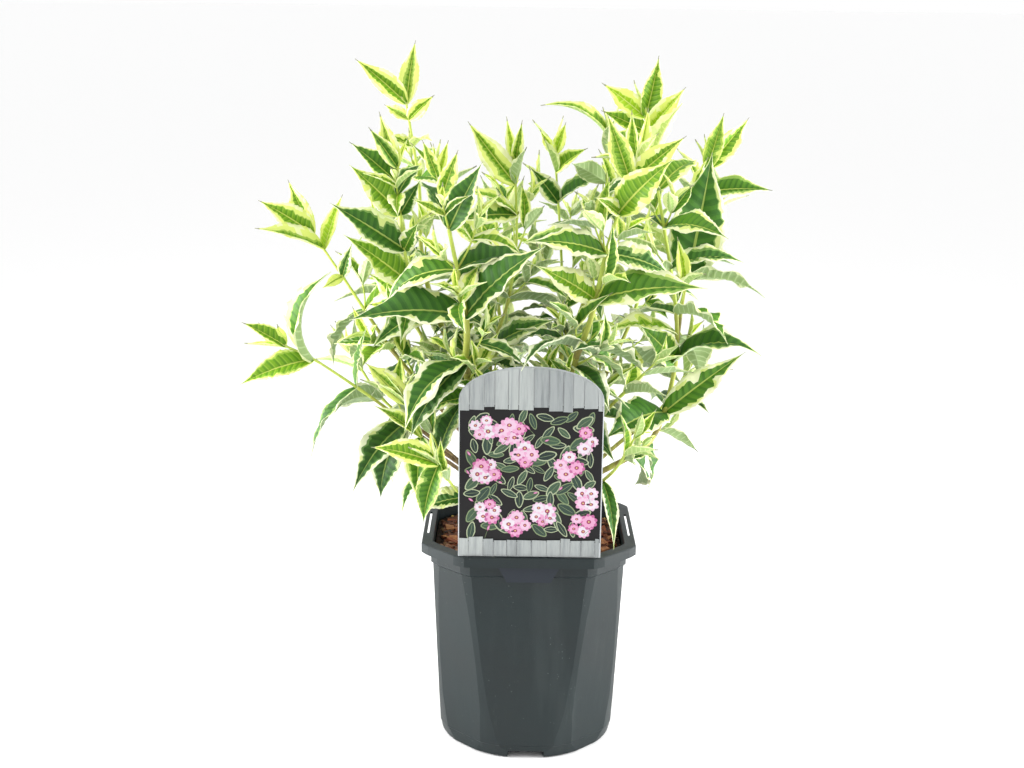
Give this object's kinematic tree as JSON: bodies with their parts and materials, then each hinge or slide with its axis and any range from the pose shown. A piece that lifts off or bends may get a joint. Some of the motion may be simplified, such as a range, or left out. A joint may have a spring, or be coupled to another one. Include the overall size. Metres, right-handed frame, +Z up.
{
  "type": "potted shrub",
  "caption": "Variegated dwarf weigela in an eight-sided nursery pot: upright and arching canes with paired cream-edged leaves, bark mix and a picture card in the rim.",
  "frame": {"origin": "middle of the pot's flat underside, on the ground", "axes": "+Z up the plant, the printed face of the card to -Y, +X to the right of someone who looks at the card"},
  "size_m": [0.4168, 0.2858, 0.5615],
  "materials": {
    "pot": "satin",
    "potting_mix": "rough",
    "card": "satin",
    "bark": "rough",
    "foliage": "satin"
  },
  "bodies": {
    "root": {"bough_back": "bark", "bough_back_left": "bark", "bough_back_left_low": "bark", "bough_back_low": "bark", "bough_back_right": "bark", "bough_centre": "bark", "bough_front_left": "bark", "bough_front_right": "bark", "bough_left": "bark", "bough_low_front_left": "bark", "bough_low_front_right": "bark", "bough_low_left": "bark", "bough_low_right": "bark", "bough_right": "bark", "bough_right_back": "bark", "bough_right_back_low": "bark", "bough_rim_left": "bark", "bough_upper_left": "bark", "foliage_back": "foliage", "foliage_back_left": "foliage", "foliage_back_left_low": "foliage", "foliage_back_low": "foliage", "foliage_back_right": "foliage", "foliage_centre": "foliage", "foliage_front_left": "foliage", "foliage_front_right": "foliage", "foliage_left": "foliage", "foliage_low_front_left": "foliage", "foliage_low_front_right": "foliage", "foliage_low_left": "foliage", "foliage_low_right": "foliage", "foliage_right": "foliage", "foliage_right_back": "foliage", "foliage_right_back_low": "foliage", "foliage_rim_left": "foliage", "foliage_upper_left": "foliage", "plant_card": "card", "pot": "pot", "potting_mix": "potting_mix", "trunk": "bark"}
  },
  "joints": []
}
